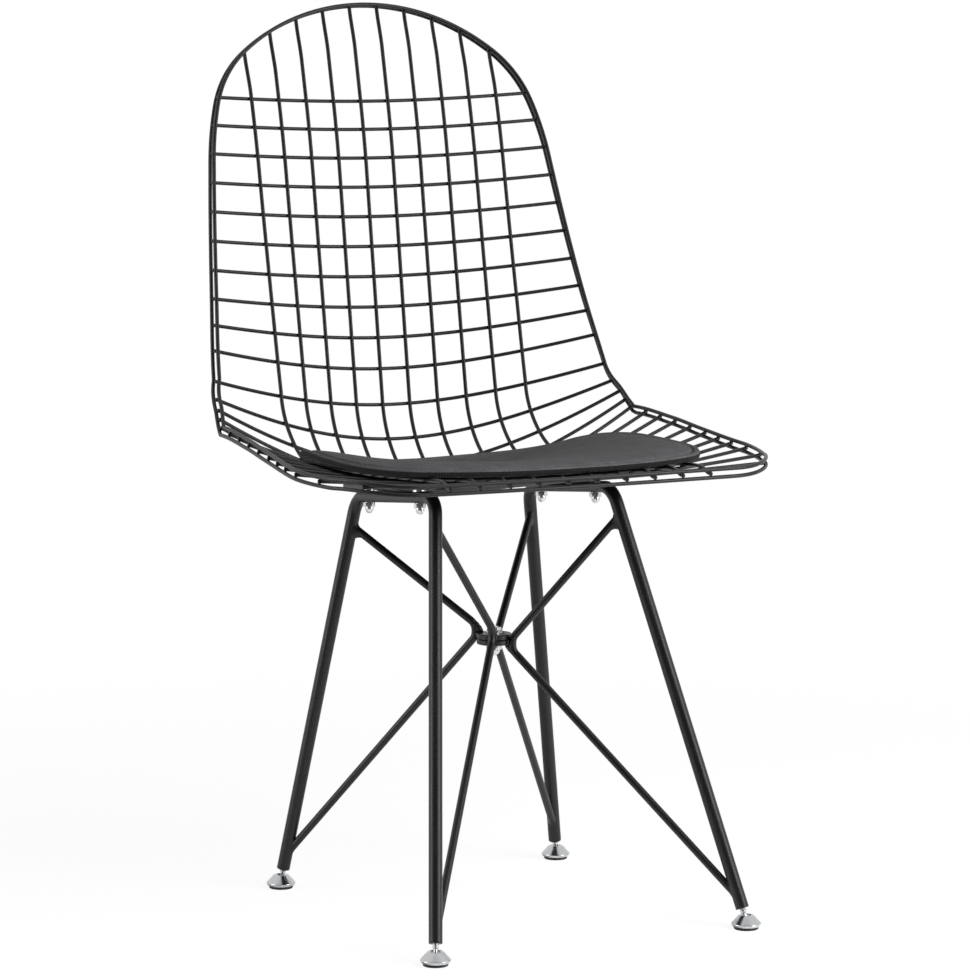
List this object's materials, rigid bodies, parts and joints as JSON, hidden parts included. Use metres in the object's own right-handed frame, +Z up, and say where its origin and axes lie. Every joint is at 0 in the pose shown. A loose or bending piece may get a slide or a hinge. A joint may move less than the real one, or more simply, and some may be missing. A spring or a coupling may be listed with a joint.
{
  "type": "wire shell dining chair",
  "caption": "Dining chair with a dished wire shell and a thin seat pad, on a bent-rod base braced to a hub, with swivel glides.",
  "frame": {"origin": "on the floor, under the middle of the chair's outer box", "axes": "+Z up; the sitter faces -Y; +X is to the sitter's left"},
  "size_m": [0.4806, 0.5102, 0.8618],
  "materials": {
    "powder_coat": "satin black powder coat",
    "chrome": "polished chrome plate",
    "glide_plastic": "matt black",
    "leatherette": "charcoal grained leatherette"
  },
  "bodies": {
    "chair": {"cross_wire_01": "powder_coat", "cross_wire_02": "powder_coat", "cross_wire_03": "powder_coat", "cross_wire_04": "powder_coat", "cross_wire_05": "powder_coat", "cross_wire_06": "powder_coat", "cross_wire_07": "powder_coat", "cross_wire_08": "powder_coat", "cross_wire_09": "powder_coat", "cross_wire_10": "powder_coat", "cross_wire_11": "powder_coat", "cross_wire_12": "powder_coat", "cross_wire_13": "powder_coat", "cross_wire_14": "powder_coat", "cross_wire_23": "powder_coat", "cross_wire_24": "powder_coat", "dome_nut_front_left": "chrome", "dome_nut_front_right": "chrome", "dome_nut_rear_left": "chrome", "dome_nut_rear_right": "chrome", "hub_bolt": "chrome", "hub_nut": "chrome", "hub_plate_lower": "powder_coat", "hub_plate_upper": "powder_coat", "leg_frame_left": "powder_coat", "leg_frame_right": "powder_coat", "long_wire_01": "powder_coat", "long_wire_02": "powder_coat", "long_wire_03": "powder_coat", "long_wire_04": "powder_coat", "long_wire_05": "powder_coat", "long_wire_06": "powder_coat", "long_wire_07": "powder_coat", "long_wire_08": "powder_coat", "long_wire_09": "powder_coat", "long_wire_10": "powder_coat", "rim_lower": "powder_coat", "rim_upper": "powder_coat", "seat_bolt_front_left": "chrome", "seat_bolt_front_right": "chrome", "seat_bolt_rear_left": "chrome", "seat_bolt_rear_right": "chrome", "seat_cradle": "powder_coat", "seat_pad": "leatherette", "strut_front_left": "powder_coat", "strut_front_right": "powder_coat", "strut_rear_left": "powder_coat", "strut_rear_right": "powder_coat"},
    "stud_front_left": {"glide_stud_front_left": "chrome"},
    "foot_front_left": {"glide_cup_front_left": "chrome", "glide_pad_front_left": "glide_plastic"},
    "stud_rear_left": {"glide_stud_rear_left": "chrome"},
    "foot_rear_left": {"glide_cup_rear_left": "chrome", "glide_pad_rear_left": "glide_plastic"},
    "stud_front_right": {"glide_stud_front_right": "chrome"},
    "foot_front_right": {"glide_cup_front_right": "chrome", "glide_pad_front_right": "glide_plastic"},
    "stud_rear_right": {"glide_stud_rear_right": "chrome"},
    "foot_rear_right": {"glide_cup_rear_right": "chrome", "glide_pad_rear_right": "glide_plastic"}
  },
  "joints": [
    {"name": "level_front_left", "type": "slide", "parent": "chair", "child": "stud_front_left", "axis": [-0.1619, -0.324, -0.9321], "range_m": [-0.003, 0.01]},
    {"name": "tilt_front_left", "type": "hinge", "parent": "stud_front_left", "child": "foot_front_left", "pos_m": [-0.16281, -0.24072, 0.008], "axis": [-0.8945, 0.447, 0], "range_deg": [-2.5, 45.5]},
    {"name": "level_rear_left", "type": "slide", "parent": "chair", "child": "stud_rear_left", "axis": [-0.1515, 0.1364, -0.979], "range_m": [-0.003, 0.01]},
    {"name": "tilt_rear_left", "type": "hinge", "parent": "stud_rear_left", "child": "foot_rear_left", "pos_m": [-0.15256, 0.12119, 0.008], "axis": [0.669, 0.7433, 0], "range_deg": [-13, 36]},
    {"name": "level_front_right", "type": "slide", "parent": "chair", "child": "stud_front_right", "axis": [0.1619, -0.324, -0.9321], "range_m": [-0.003, 0.01]},
    {"name": "tilt_front_right", "type": "hinge", "parent": "stud_front_right", "child": "foot_front_right", "pos_m": [0.16281, -0.24072, 0.008], "axis": [-0.8945, -0.447, 0], "range_deg": [-2.5, 45.5]},
    {"name": "level_rear_right", "type": "slide", "parent": "chair", "child": "stud_rear_right", "axis": [0.1515, 0.1364, -0.979], "range_m": [-0.003, 0.01]},
    {"name": "tilt_rear_right", "type": "hinge", "parent": "stud_rear_right", "child": "foot_rear_right", "pos_m": [0.15256, 0.12119, 0.008], "axis": [0.669, -0.7433, 0], "range_deg": [-13, 36]}
  ]
}
